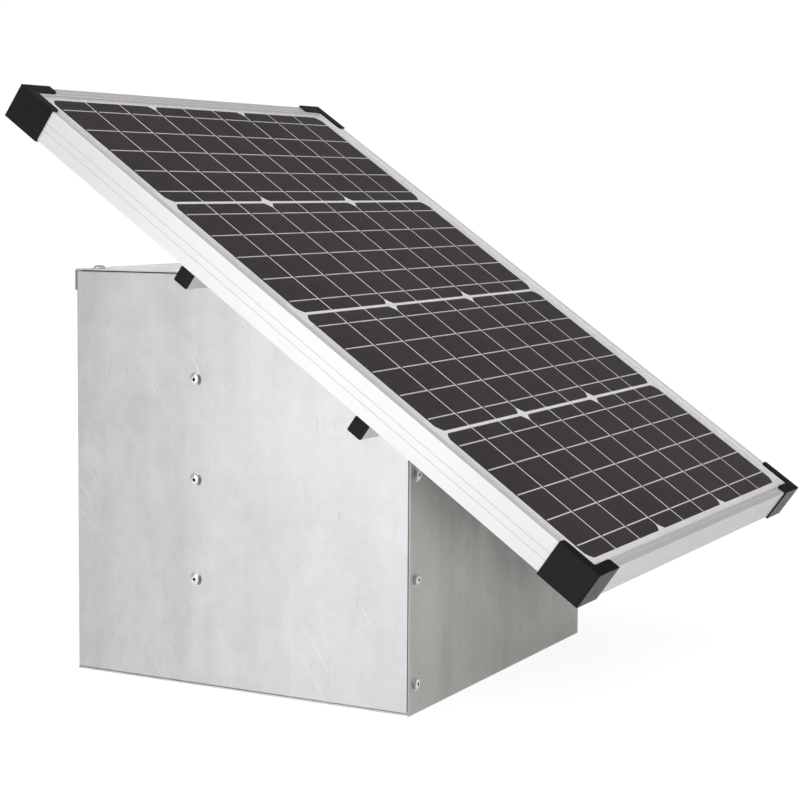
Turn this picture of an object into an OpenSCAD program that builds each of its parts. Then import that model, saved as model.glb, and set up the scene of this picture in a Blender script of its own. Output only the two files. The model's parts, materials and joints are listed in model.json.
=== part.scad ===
// Solar electric-fence energizer: a riveted sheet-steel box that holds the
// energizer, a charge controller and a 12 V battery, with a framed solar
// module on its sloping top. Millimetres, +Z up, -Y is the front, and the
// origin is the centre of the box's underside. The slope rises toward +Y, and
// the door is at the rear, with its hinges on the +X side.

/* [Box] */
// Outside width of the box
box_w = 378; // [376:1:388]
// Depth of the box, front sheet to rear flange
box_d = 347.6; // [345:0.1:350]
// Height of the box to the flat top
box_h = 375; // [373:1:378]
// Thickness of the box sheet
sheet = 1.5; // [1.2:0.1:1.6]
// Horizontal run of the sloping part of the top
slope_run = 195; // [191:1:198]
// Slope of the top and of the solar module, degrees
tilt = 35; // [34:0.5:36]
// Height of the turned-down lip at the back of the top sheet
lip_h = 20; // [16:1:21]
// Width of the inward flanges of the side panels
flange_w = 22; // [20:1:24]
// Outside bend radius of the folded edges
bend_r = 2; // [1:0.5:2.5]

/* [Rivets] */
// Radius of a rivet head
rivet_head_r = 6.5; // [5.5:0.5:7]
// Radius of a rivet shank
rivet_r = 2.4; // [2:0.2:2.4]
// Height of the lowest rivet on each side panel
rivet_z0 = 97.4; // [94:0.1:100]
// Spacing of the side and front rivets
rivet_pitch = 90.5; // [88:0.1:91]

/* [Solar module] */
// Width of the solar module
panel_w = 530; // [524:1:540]
// Length of the solar module along the slope
panel_l = 670; // [664:1:680]
// Height of the module's frame
frame_h = 30; // [30:1:34]
// Distance of the module's centre up-slope from the slope's centre
panel_off = 4.25; // [3:0.25:6]
// Rows of cells along the slope
cell_rows = 4; // [3:1:4]
// Strips of cell across the width
cell_cols = 9; // [6:3:9]
// Width of one full cell
cell = 156.75; // [150:0.25:156.75]
// Gap between strips
strip_gap = 1.8; // [1.2:0.1:1.8]
// Gap between rows
row_gap = 3.4; // [2:0.1:3.4]
// Busbars on each cell
busbars = 5; // [3:1:5]

/* [Cross bars] */
// Side of the square cross bars
bar = 15; // [15:1:18]
// Distance of each cross bar from the middle of the pair
bar_off = 103.1; // [98:0.1:104]
// Length of a corner protector's legs
protector_l = 40; // [36:1:50]

/* [Door and lock] */
// Height of the lock above the ground
lock_z = 187; // [150:1:240]
// Running clearance of hinge pins, shafts and knobs on their bores
run_gap = 0.05; // [0.03:0.01:0.08]

/* [Energizer] */
// Width of the energizer's case
ez_w = 190; // [180:1:192]
// Height of the energizer's case
ez_h = 214; // [206:1:216]
// Depth of the energizer's front cover
ez_cover_d = 60; // [56:1:62]
// Radius of the terminal studs
stud_r = 3; // [2.5:0.5:3]

/* [Battery] */
// Length of the battery
batt_l = 300; // [280:1:304]
// Depth of the battery
batt_d = 172; // [164:1:174]
// Height of the battery without its posts
batt_h = 186; // [175:1:190]

/* [Hidden] */
$fn = 48;

// Colours shared by several nodes
side_grey = [0.76, 0.78, 0.79];
plate_grey = [0.72, 0.74, 0.75];
hinge_grey = [0.7, 0.71, 0.72];
screw_grey = [0.75, 0.75, 0.76];
frame_silver = [0.86, 0.86, 0.87];
bar_silver = [0.82, 0.82, 0.83];
junction_black = [0.11, 0.11, 0.12];
cable_black = [0.09, 0.09, 0.09];

play = 0.02;                             // paint-film gap between sheets and bars
bolt_r = 2.5;                            // bar bolts, frame bolts and thumb screws

// Box
side_x = box_w / 2;                      // outer face of the side panels
front_y = -box_d / 2;                    // outer face of the front sheet
rear_y = box_d / 2;                      // outer face of the rear flanges
slope_drop = slope_run * tan(tilt);
front_h = box_h - slope_drop;            // height of the front sheet
crease_y = front_y + slope_run;          // where the slope meets the flat top
open_x = side_x - 19.5;                  // half width of the door opening
rabbet = 17;                             // depth of the door rabbet
stop_y = rear_y - rabbet;                // front face of the door stop
stop_x = open_x - 12.5;                  // inner edge of the side door stops
cross_x = stop_x - 0.5;                  // half width of the sill and header
grommet_r = 7;                           // holes for the grommets
grommet_z = 45;
grommet_ys = [rear_y - 82, rear_y - 50]; // side grommets
slope_hole_y = 30;                       // cable hole, up-slope from the slope's centre

// Door
door_x = open_x - 2;                     // half width of the door
door_z0 = 27;                            // lower edge of the door
door_z1 = box_h - lip_h - 3;             // upper edge of the door
door_h = door_z1 - door_z0;
door_mid_z = (door_z0 + door_z1) / 2;
door_fold = 12;                          // depth of the door's folded edge
sill_z = door_z0 - 2;                    // top of the door sill

// Mounting plate and rails
rail_y = 34;                             // front face of the mounting rails
plate_y = rail_y + sheet;                // front face of the mounting plate
plate_rear = plate_y + sheet;            // rear face of the mounting plate
plate_z0 = 66;
plate_z1 = 308;
rivet_y = rail_y + 9;                    // side rivets through rail legs

// Solar module, heights above the underside of its frame
panel_x = 1;                             // module sits this far right of the box's centre
bars_y = -2;                             // pair of bars from the module's centre, up-slope
z_back = frame_h - 7;                    // underside of the laminate
z_cell = z_back + 1.2;
z_ribbon = z_cell + 0.25;
z_glass = z_ribbon + 0.25;
z_top = frame_h - 2;                     // top of the glass
bar_bolt_x = 150;                        // bar bolts from the box's centre
frame_bolt_x = panel_w / 2 - 15;         // frame bolts from the module's centre

// Energizer, with its cover toward the rear door
ez_x = -45;                              // centre of the energizer
ez_z0 = 86;
rim_y = plate_rear + 23;                 // rim of the back shell
seal_t = 1.5;
cover_y = rim_y + seal_t;                // rim of the cover
face_y = cover_y + ez_cover_d;           // outer face of the cover

// Charge controller
ctl_x = 115;
ctl_z0 = 150;
ctl_h = 120;
ctl_w = 86;
ctl_face = plate_rear + 32;              // rear face of the controller
ctl_port_y = plate_rear + 16;            // where its cables enter

// Battery
batt_y0 = front_y + 12.5;
batt_z0 = sheet;
batt_y = batt_y0 + batt_d / 2;
post_x = batt_l / 2 - 34;
post_y = batt_y0 + batt_d - 30;
post_z = batt_z0 + batt_h;               // lid surface round the posts
post_r = 8.8;

// ---------- helpers ----------

arc_steps = 5;                           // segments of a rounded polygon corner
cable_sides = 12;

function unit(v) = v / norm(v);

// Points of an arc that rounds a corner between its two neighbours
function corner_arc(before, corner, after, r) =
    r <= 0 ? [corner] :
    let (back = unit(before - corner), ahead = unit(after - corner),
         half = acos(max(-1, min(1, back * ahead))) / 2,
         reach = r / tan(half),
         centre = corner + unit(back + ahead) * (r / sin(half)),
         start = corner + back * reach - centre,
         end = corner + ahead * reach - centre,
         angle = atan2(start[1], start[0]),
         turn = atan2(end[1], end[0]) - angle,
         sweep = turn > 180 ? turn - 360 : turn < -180 ? turn + 360 : turn)
    [for (i = [0:arc_steps]) let (a = angle + sweep * i / arc_steps)
        centre + r * [cos(a), sin(a)]];

// Polygon points with corner i rounded to radii[i]
function round_poly(points, radii) = let (n = len(points))
    [for (i = [0:n - 1])
        each corner_arc(points[(i + n - 1) % n], points[i], points[(i + 1) % n], radii[i])];

// Rectangle with true round corners, centred
module rrect(w, h, r) {
    square([w - 2 * r, h], center = true);
    square([w, h - 2 * r], center = true);
    for (sx = [-1, 1], sy = [-1, 1])
        translate([sx * (w / 2 - r), sy * (h / 2 - r)]) circle(r = r);
}
// Plate with round corners in the XZ plane, from y0 to y1
module xz_plate(w, h, r, y0, y1) {
    translate([0, y1, 0]) rotate([90, 0, 0]) linear_extrude(y1 - y0) rrect(w, h, r);
}
// Plate with round corners in the XY plane, h thick from z up
module xy_plate(w, l, r, z, h) {
    translate([0, 0, z]) linear_extrude(h) rrect(w, l, r);
}
// Box between two values on each axis, given in either order
module block(x0, x1, y0, y1, z0, z1) {
    translate([min(x0, x1), min(y0, y1), min(z0, z1)])
        cube([abs(x1 - x0), abs(y1 - y0), abs(z1 - z0)]);
}
// Cylinder along +Y from y0 to y1
module y_rod(r, y0, y1) {
    translate([0, y0, 0]) rotate([-90, 0, 0]) cylinder(r = r, h = y1 - y0);
}
// Cutter along Z through one or two sheets
module bore(r) { cylinder(r = r, h = 12, center = true); }
// Hexagonal prism, given its width across flats
module hex(flats, h) { cylinder(r = flats / sqrt(3), h = h, $fn = 6); }
// Sweeps a section in the YZ plane along X
module yz_extrude(x0, x1) {
    translate([x0, 0, 0]) rotate([90, 0, 90]) linear_extrude(x1 - x0) children();
}

// The four points (+-x, +-z), and a placer for a list of [x, z] points
function four(x, z) = [for (sx = [-1, 1], sz = [-1, 1]) [sx * x, sz * z]];
module at_xz(points) { for (p = points) translate([p[0], 0, p[1]]) children(); }

// Cubic Bezier path through a and d, steered by b and c
function bezier(a, b, c, d, steps) = [for (i = [0:steps]) let (t = i / steps)
    pow(1 - t, 3) * a + 3 * t * pow(1 - t, 2) * b + 3 * t * t * (1 - t) * c + pow(t, 3) * d];
function tangent(path, i) = unit(path[min(i + 1, len(path) - 1)] - path[max(i - 1, 0)]);
// Joins two paths that share an end point
function join(a, b) = concat(a, [for (i = [1:len(b) - 1]) b[i]]);

// Round cable along a path; ref is a direction the path never follows
module cable(path, r, ref) {
    n = cable_sides;
    last = len(path) - 1;
    points = [for (i = [0:last])
        let (t = tangent(path, i), u = unit(cross(t, ref)), v = cross(t, u))
        each [for (k = [0:n - 1])
            path[i] + r * (cos(k * 360 / n) * u + sin(k * 360 / n) * v)]];
    faces = concat(
        [[for (k = [0:n - 1]) n - 1 - k]],
        [for (i = [0:last - 1], k = [0:n - 1])
            [i * n + k, i * n + (k + 1) % n, (i + 1) * n + (k + 1) % n, (i + 1) * n + k]],
        [[for (k = [0:n - 1]) last * n + k]]);
    polyhedron(points, faces, convexity = 10);
}

// Frame of the sloping top: x across, y up-slope, z out of the sheet
module on_slope() {
    translate([0, front_y + slope_run / 2, front_h + slope_drop / 2])
        rotate([tilt, 0, 0]) children();
}
// Frame of the solar module: z = 0 is the underside of its frame
module on_panel() {
    on_slope() translate([panel_x, panel_off, bar + 2 * play]) children();
}

// [y, z] of the slope's lower and upper ends, inset from the box's outer faces
function slope_ends(inset) = [
    [front_y + inset, front_h + inset * tan(tilt) - inset / cos(tilt)],
    [crease_y + inset * (1 / cos(tilt) - 1) / tan(tilt), box_h - inset]];

// ---------- rivets and holes in the box ----------

front_rivet_x = -(side_x - 11.7);
front_rivet_z0 = 26.2;
top_rivet_x = side_x - 14;

module at_side_rivets() {
    for (s = [-1, 1], i = [0:2])
        translate([s * side_x, rivet_y, rivet_z0 + i * rivet_pitch])
            rotate([0, s * 90, 0]) children();
}
// Rivets of the front, the slope and the flat top
module at_skin_rivets() {
    for (i = [0:2])
        translate([front_rivet_x, front_y, front_rivet_z0 + i * rivet_pitch])
            rotate([90, 0, 0]) children();
    for (s = [-1, 1]) {
        for (y = [rear_y - 16, crease_y + 18])
            translate([s * top_rivet_x, y, box_h]) children();
        for (y = [-62, 62])
            on_slope() translate([s * top_rivet_x, y, 0]) children();
    }
}
module rivet_holes() {
    at_side_rivets() bore(rivet_r);
    at_skin_rivets() bore(rivet_r);
}
module at_bar_bolts() {
    for (x = [-bar_bolt_x, bar_bolt_x], s = [-1, 1])
        on_slope() translate([x, panel_off + bars_y + s * bar_off, 0]) children();
}
module at_frame_bolts() {
    for (sx = [-1, 1], s = [-1, 1])
        on_slope() translate([sx * frame_bolt_x + panel_x, panel_off + bars_y + s * bar_off, 0])
            children();
}
module at_side_grommets() {
    for (y = grommet_ys) translate([side_x, y, grommet_z]) rotate([0, 90, 0]) children();
}
module at_slope_hole() { on_slope() translate([0, slope_hole_y, 0]) children(); }

// Blind rivet, head outward along +Z, through a stack of the given grip
module rivet(grip) {
    head = rivet_head_r;
    // [radius, height], from the recess in the head down to the blind end
    rotate_extrude() polygon([
        [0, -1.8], [1.4, -1.8], [1.4, 2.6], [1.75, 2.9], [head - 3.7, 2.85],
        [head - 2.6, 2.5], [head - 1.7, 1.85], [head - 1, 1.0], [head - 0.75, 0.45],
        [head - 0.15, 0.35], [head, 0.15], [head, 0], [rivet_r, 0], [rivet_r, -grip],
        [rivet_r + 1.2, -grip], [rivet_r + 1.2, -grip - 1.8],
        [rivet_r, -grip - 3.4], [0, -grip - 3.4]]);
}

// ---------- sheet-steel box ----------

// Front sheet, slope, flat top and turned-down lip, folded from one sheet
module front_top_sheet() color([0.66, 0.68, 0.67]) {
    outer = slope_ends(0);
    inner = slope_ends(sheet);
    lip_z = box_h - lip_h;
    difference() {
        yz_extrude(-side_x, side_x) polygon(round_poly(
            [[front_y, 0], outer[0], outer[1], [rear_y + sheet, box_h],
             [rear_y + sheet, lip_z], [rear_y, lip_z], [rear_y, box_h - sheet],
             inner[1], inner[0], [front_y + sheet, 0]],
            [0, bend_r + 1, bend_r + 1, bend_r, 0, 0, 0, 0, 0, 0]));
        rivet_holes();
        at_bar_bolts() bore(bolt_r + 0.1);
        at_slope_hole() bore(grommet_r);
    }
}

// Cutter that rounds a fold between two [y, z] points on the outer face x = -side_x
module fold_cut(from, to) {
    span = norm(to - from);
    angle = atan2(to[1] - from[1], to[0] - from[0]);
    translate([-side_x, from[0], from[1]]) rotate([angle, 0, 0])
        translate([0, -5, 0]) difference() {
            translate([-1, 0, -1]) cube([bend_r + 1, span + 10, bend_r + 1]);
            translate([bend_r, -1, bend_r])
                rotate([-90, 0, 0]) cylinder(r = bend_r, h = span + 12);
        }
}

// Left side panel: flat side, inward flanges on every edge, and the rear rabbet
module side_tray() {
    inset = sheet + play;
    out = slope_ends(inset);
    in = slope_ends(inset + sheet);
    outer = [[front_y + inset, sheet], out[0], out[1], [rear_y, box_h - inset], [rear_y, sheet]];
    inner = [[front_y + inset + sheet, 2 * sheet], in[0], in[1],
        [rear_y - sheet, box_h - inset - sheet], [rear_y - sheet, 2 * sheet]];
    difference() {
        union() {
            difference() {
                yz_extrude(-side_x, -side_x + flange_w) polygon(outer);
                yz_extrude(-side_x + sheet, side_x) polygon(inner);
                block(-open_x, 0, rear_y - 8, rear_y + 5, 0, box_h);
            }
            // rabbet side and door stop
            block(-open_x - sheet, -open_x, stop_y, rear_y, sheet, box_h - 10);
            block(-open_x - sheet, -stop_x, stop_y, stop_y + sheet, sheet, box_h - 10);
        }
        rivet_holes();
        // each fold is rounded on its outer edge
        for (i = [0:4]) fold_cut(outer[(i + 1) % 5], outer[i]);
    }
}
module left_side_panel() color(side_grey) side_tray();
module right_side_panel() color(side_grey) difference() {
    mirror([1, 0, 0]) side_tray();
    at_side_grommets() bore(grommet_r);
}

// Bottom sheet with a front upturn and the door sill
module base_tray() color([0.6, 0.62, 0.62]) {
    upturn_x = side_x - flange_w - 0.5;
    sill_x = open_x - 0.5;
    difference() {
        union() {
            block(-side_x, side_x, front_y + sheet, rear_y, 0, sheet);
            block(-upturn_x, upturn_x, front_y + sheet, front_y + 2 * sheet, 0, 18);
            block(-sill_x, sill_x, rear_y - sheet, rear_y, 0, sill_z);
            block(-sill_x, sill_x, stop_y + sheet + 0.2, rear_y, sill_z - sheet, sill_z);
            block(-cross_x, cross_x, stop_y, rear_y - 1, sill_z - sheet, sill_z);
            block(-cross_x, cross_x, stop_y, stop_y + sheet, sill_z - sheet, door_z0 + 13);
        }
        // drain holes
        for (x = [-120, 120]) translate([x, rear_y - 40, -1]) cylinder(r = 4, h = 5);
    }
}

// Angle across the top of the door opening
module door_header() color([0.66, 0.68, 0.69]) {
    top = box_h - sheet;
    block(-cross_x, cross_x, stop_y, stop_y + sheet, door_z1 - 12, top);
    block(-cross_x, cross_x, stop_y - 16, stop_y + sheet, top - sheet, top);
}

// Rear door: a shallow pan with folded edges and vent slots
module rear_door() color(plate_grey) {
    difference() {
        translate([0, 0, door_mid_z])
            xz_plate(2 * door_x, door_h, 3, rear_y - door_fold, rear_y);
        translate([0, 0, door_mid_z])
            xz_plate(2 * door_x - 2 * sheet, door_h - 2 * sheet, 1.6,
                rear_y - door_fold - 1, rear_y - sheet);
        on_lock() y_rod(lock_r + 0.1, rear_y - 5, rear_y + 5);
        // two columns of vent slots
        for (s = [-1, 1], i = [0:4])
            translate([s * 60, 0, door_z1 - 36 - i * 9])
                xz_plate(70, 3.6, 1.7, rear_y - 3, rear_y + 2);
    }
    // stiffening bars across the inside
    for (z = [door_mid_z - 70, door_mid_z + 62])
        block(-110, 130, rear_y - sheet - 6, rear_y - sheet, z, z + 16);
}

// Rubber gasket on the door stop
module door_seal() color([0.1, 0.1, 0.1]) difference() {
    y0 = stop_y + sheet;
    translate([0, 0, door_mid_z]) xz_plate(2 * door_x + 2, door_h + 2, 4, y0, y0 + 3.3);
    translate([0, 0, door_mid_z]) xz_plate(2 * door_x - 15, door_h - 15, 3, stop_y, y0 + 5);
}

module box_rivets() color([0.82, 0.82, 0.82]) {
    at_side_rivets() rivet(2 * sheet);
    at_skin_rivets() rivet(2 * sheet + 0.05);
}

// Rubber grommet for a hole in one sheet, bore radius hole; points are [radius, height]
module grommet(hole) {
    rotate_extrude() polygon([[hole, -sheet - 2], [9.5, -sheet - 2], [10, -sheet - 1.5],
        [10, -sheet - play], [grommet_r, -sheet - play], [grommet_r, play], [10, play],
        [10, 1.5], [9.5, 2.2], [hole + 0.8, 2.6], [hole, 2.2]]);
}
module cable_grommets() color([0.12, 0.12, 0.12]) {
    at_side_grommets() grommet(4);
    at_slope_hole() grommet(3.6);
}

// ---------- hinges ----------

hinge_x = open_x - 1;                    // hinge axis
hinge_r = 3.2;                           // knuckle radius
hinge_y = rear_y + hinge_r;
hinge_zs = [85, 293];                    // mid-height of each hinge
leaf_half = 25;                          // half height of a leaf
frame_knuckles = [[-leaf_half, -9], [9, leaf_half]];
door_knuckles = [[-8.7, 8.7]];
pin_r = 1.6;

// One knuckle with the tab that joins it to its leaf
module knuckle(z0, z1, hole_r, side) {
    difference() {
        union() {
            translate([hinge_x, hinge_y, z0]) cylinder(r = hinge_r, h = z1 - z0);
            block(hinge_x, hinge_x + side * 5, rear_y, rear_y + sheet, z0, z1);
        }
        translate([hinge_x, hinge_y, z0 - 1]) cylinder(r = hole_r, h = z1 - z0 + 2);
    }
}
// One leaf per hinge; side is its X direction from the axis, edge_x its far edge
module hinge_leaves(knuckles, hole_r, side, edge_x) {
    for (z = hinge_zs) {
        for (k = knuckles) knuckle(z + k[0], z + k[1], hole_r, side);
        block(hinge_x + side * 3.8, edge_x, rear_y, rear_y + sheet, z - leaf_half, z + leaf_half);
    }
}
module hinge_frame_leaves() color(hinge_grey)
    hinge_leaves(frame_knuckles, pin_r, 1, side_x - 2.5);
module hinge_door_leaves() color(hinge_grey)
    hinge_leaves(door_knuckles, pin_r + run_gap, -1, hinge_x - 21);

// Pins with a head at each end
module hinge_pins() color([0.8, 0.8, 0.82]) {
    head_r = pin_r + 0.8;
    head_t = 1.5;
    top = 2 * leaf_half + head_t;        // underside of the upper head
    for (z = hinge_zs)
        translate([hinge_x, hinge_y, z - leaf_half - head_t]) rotate_extrude() polygon([
            [0, 0], [head_r, 0], [head_r, head_t], [pin_r, head_t], [pin_r, top],
            [head_r, top], [head_r, top + head_t], [0, top + head_t]]);
}

// ---------- lock ----------

lock_x = -(open_x - 30.5);
lock_y0 = rear_y - 14.8;                 // inner end of the lock body
lock_lip = rear_y + 2.4;                 // outer face of the lock's flange
lock_r = 9.5;
plug_r = 5.6;
tail = 6;                                // side of the plug's square tail

module on_lock() { translate([lock_x, 0, lock_z]) children(); }
module lock_body() color(screw_grey) on_lock() difference() {
    union() {
        y_rod(lock_r, lock_y0, rear_y + 0.5);
        y_rod(12, rear_y, lock_lip);
    }
    y_rod(plug_r + run_gap, lock_y0 - 1, rear_y + 5);
}
module lock_nut() color([0.7, 0.7, 0.71]) on_lock() difference() {
    translate([0, rear_y - sheet - 4, 0]) rotate([-90, 0, 0]) hex(24, 4);
    y_rod(lock_r, rear_y - sheet - 5, rear_y);
}
module lock_plug() color([0.8, 0.78, 0.7]) on_lock() difference() {
    union() {
        y_rod(plug_r, lock_y0 - 2, lock_lip);
        translate([-tail / 2, lock_y0 - 6, -tail / 2]) cube([tail, 4.5, tail]);
    }
    // keyway
    block(-1.3, 1.3, rear_y - 14, rear_y + 5, -4.2, 4.2);
}
// Cam on the plug's tail, pointing down
module lock_cam() color([0.74, 0.75, 0.76]) on_lock() difference() {
    translate([0, lock_y0 - 5, 0]) rotate([-90, 0, 0]) linear_extrude(2.5) union() {
        circle(r = 9);
        translate([-8, 0]) square([16, 27]);
    }
    translate([-tail / 2, lock_y0 - 8, -tail / 2]) cube([tail, 8, tail]);
}
// Key in the plug: flat blade, and a round-cornered bow with a hole
module door_key() color([0.82, 0.8, 0.72]) on_lock() {
    block(-1.2, 1.2, rear_y - 13, rear_y + 5, -3.6, 3.6);
    difference() {
        translate([-1.2, rear_y + 12.5, 0])
            rotate([0, 90, 0]) linear_extrude(2.4) rrect(20, 15.4, 5);
        translate([-3, rear_y + 16, 0]) rotate([0, 90, 0]) cylinder(r = 2.2, h = 6);
    }
}

// ---------- inner mounting plate ----------

module at_thumb_screws() {
    for (s = [-1, 1], z = [plate_z0 + 14, plate_z1 - 14])
        translate([s * (side_x - 15), 0, z]) children();
}
// Angles riveted to the side panels
module mounting_rails() color([0.7, 0.72, 0.73]) for (s = [-1, 1]) difference() {
    union() {
        block(s * (side_x - sheet), s * (side_x - 2 * sheet),
            rail_y, rail_y + 22, plate_z0, plate_z1);
        block(s * (side_x - sheet), s * (side_x - 24),
            rail_y, rail_y + sheet, plate_z0, plate_z1);
    }
    rivet_holes();
    at_thumb_screws() y_rod(bolt_r, rail_y - 5, rail_y + 10);
}
module mounting_plate() color(plate_grey) difference() {
    union() {
        block(-(side_x - 5), side_x - 5, plate_y, plate_rear, plate_z0, plate_z1);
        // stiffening lip along the lower edge
        block(-(side_x - 28), side_x - 28, plate_y - 9, plate_rear, plate_z0, plate_z0 + sheet);
    }
    at_thumb_screws() y_rod(bolt_r, rail_y - 5, rail_y + 12);
    on_ez() at_xz(ez_mounts) y_rod(mount_r, plate_y - 5, plate_rear + 5);
}
// Nut in front of the rail, shank, and fluted knob behind the plate
module plate_thumb_screws() color(screw_grey) at_thumb_screws() {
    difference() {
        translate([0, rail_y, 0]) rotate([90, 0, 0]) hex(8, 4);
        y_rod(bolt_r, rail_y - 5, rail_y + 2);
    }
    y_rod(bolt_r, rail_y - 4, plate_rear);
    difference() {
        y_rod(8, plate_rear, plate_rear + 6);
        for (a = [0:45:315]) rotate([0, a, 0])
            translate([9.2, 0, 0]) y_rod(2, plate_rear - 1, plate_rear + 8);
    }
}

// ---------- solar module ----------

wall = 1.6;                              // frame extrusion wall
mitre_gap = 0.08;                        // set-back of each mitred rail end
laminate_w = panel_w - 4;
laminate_l = panel_l - 4;

// Frame extrusion along Y: x = 0 is the outer face, +x points inward
module frame_section() {
    groove = frame_h / 30;               // scales the heights of the outer grooves
    difference() {
        polygon([
            // lower flange, inner wall and seat of the laminate
            [0, 0], [20, 0], [20, wall], [9.5, wall], [9.5, z_back], [wall, z_back],
            // lip over the glass
            [wall, z_top], [10, z_top], [10, z_top + 1.2], [9.4, z_top + 1.6],
            [6.2, z_top + 1.6], [6.0, z_top + 1.1], [5.4, z_top + 1.1],
            [5.2, frame_h], [0.4, frame_h], [0, frame_h - 0.4],
            // two fine grooves in the outer face
            [0, 18.3 * groove], [0.2, 18 * groove], [0, 17.7 * groove],
            [0, 11.3 * groove], [0.2, 11 * groove], [0, 10.7 * groove]]);
        translate([wall, wall]) square([8 - wall, z_back - 2 * wall]);
    }
}
// Rail with its ends mitred at 45 degrees
module rail(l) {
    end = l / 2 - mitre_gap;
    intersection() {
        rotate([90, 0, 0]) linear_extrude(l, center = true) frame_section();
        translate([0, 0, -1]) linear_extrude(frame_h + 2)
            polygon([[-1, -end - 1], [25, -end + 25], [25, end - 25], [-1, end + 1]]);
    }
}
module side_rail() difference() {
    translate([-panel_w / 2, 0, 0]) rail(panel_l);
    for (s = [-1, 1])
        translate([-frame_bolt_x, bars_y + s * bar_off, -1]) cylinder(r = bolt_r, h = 4);
}
module end_rail()
    translate([0, -panel_l / 2, 0]) rotate([0, 0, 90]) mirror([0, 1, 0]) rail(panel_w);
module frame_rail_left() color(frame_silver) on_panel() side_rail();
module frame_rail_right() color(frame_silver) on_panel() mirror([1, 0, 0]) side_rail();
module frame_rail_lower() color(frame_silver) on_panel() end_rail();
module frame_rail_upper() color(frame_silver) on_panel() mirror([0, 1, 0]) end_rail();

// Origin at each outer corner of the frame, x and y pointing along its rails
module at_corners() {
    for (mx = [0, 1], my = [0, 1])
        on_panel() mirror([mx, 0, 0]) mirror([0, my, 0])
            translate([-panel_w / 2, -panel_l / 2, 0]) children();
}
// Angle pieces inside the hollow rails
module frame_corner_keys() color([0.7, 0.7, 0.72]) {
    inset = wall + 0.1;
    at_corners() translate([inset, inset, inset]) linear_extrude(z_back - 2 * inset)
        polygon([[0, 0], [30, 0], [30, 6.2], [6.2, 6.2], [6.2, 30], [0, 30]]);
}

// Toughened glass
module solar_glass() color([0.75, 0.85, 0.9, 0.35]) on_panel()
    xy_plate(laminate_w, laminate_l, 1.5, z_glass, z_top - z_glass);
// White rear sheet of the laminate
module backsheet() color([0.93, 0.93, 0.93]) on_panel()
    xy_plate(laminate_w, laminate_l, 1.5, z_back, z_cell - z_back);

strip_w = cell / 3;                      // full cells are cut into three strips
strip_pitch = strip_w + strip_gap;
row_pitch = cell + row_gap;
cells_w = cell_cols * strip_w + (cell_cols - 1) * strip_gap;
cells_l = cell_rows * cell + (cell_rows - 1) * row_gap;
cells_x = 2.5;                           // cells sit this far right of the module's centre
cells_y = 1.2;                           // and this far up-slope
cell_cut = 7;                            // cut corners of a full cell
cell_mid = 0.43 * cell_cut;              // middle point of a cut corner

// Outline of one strip: part is 0, 1 or 2 across the full cell
function strip(part) =
    let (c = cell_cut, m = cell_mid, w = strip_w, l = cell)
    concat(
        part == 0 ? [[0, c], [m, m], [c, 0]] : [[0, 0]],
        part == 2 ? [[w - c, 0], [w - m, m], [w, c], [w, l - c], [w - m, l - m], [w - c, l]]
            : [[w, 0], [w, l]],
        part == 0 ? [[c, l], [m, l - m], [0, l - c]] : [[0, l]]);
// Origin at the lower left corner of each row of cells
module at_rows(z) {
    on_panel() translate([-cells_w / 2 + cells_x, -cells_l / 2 + cells_y, z])
        for (row = [0:cell_rows - 1]) translate([0, row * row_pitch, 0]) children();
}
module solar_cells() color([0.15, 0.14, 0.15]) at_rows(z_cell)
    for (col = [0:cell_cols - 1])
        translate([col * strip_pitch, 0, 0]) linear_extrude(0.25) polygon(strip(col % 3));

// Ribbons from each strip to the next, and the collecting ribbons at both sides
module cell_ribbons() color([0.78, 0.79, 0.8]) {
    busbar_pitch = cell / busbars;
    ribbon_w = 1.2;
    ribbon_t = 0.15;
    at_rows(z_ribbon) {
        for (b = [0:busbars - 1])
            translate([0, busbar_pitch * (b + 0.5) - ribbon_w / 2, 0]) {
                translate([-7, 0, 0]) cube([7, ribbon_w, ribbon_t]);
                for (col = [0:cell_cols - 1]) translate([col * strip_pitch + 3, 0, 0])
                    cube([col < cell_cols - 1 ? strip_pitch - 3 : strip_w + 4,
                        ribbon_w, ribbon_t]);
            }
        for (x = [-7, cells_w + 4]) translate([x, busbar_pitch / 2, 0])
            cube([3, busbar_pitch * (busbars - 1), ribbon_t]);
    }
}

// Junction box under the upper part of the module
junction_y = panel_l / 2 - 78;
junction_w = 112;
junction_l = 84;
junction_d = 18;
gland_z = z_back - junction_d / 2;

module junction_box() color(junction_black) on_panel() translate([0, junction_y, 0])
    difference() {
        union() {
            xy_plate(junction_w, junction_l, 6, z_back - junction_d, junction_d);
            // cable gland
            translate([0, -junction_l / 2, gland_z]) rotate([90, 0, 0]) cylinder(r = 7, h = 8);
        }
        xy_plate(junction_w - 6, junction_l - 6, 4, z_back - junction_d - 1, 17);
        translate([0, -30, gland_z]) rotate([90, 0, 0]) cylinder(r = 3.55, h = 25);
    }
module junction_box_lid() color(junction_black) {
    lid_t = 2.5;
    on_panel() translate([0, junction_y, z_back - junction_d - lid_t]) {
        linear_extrude(lid_t) rrect(junction_w + 2, junction_l + 2, 6.5);
        // rim that fits inside the box
        translate([0, 0, lid_t]) linear_extrude(4) difference() {
            rrect(junction_w - 6.4, junction_l - 6.4, 4);
            rrect(junction_w - 11, junction_l - 11, 3);
        }
    }
}

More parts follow.
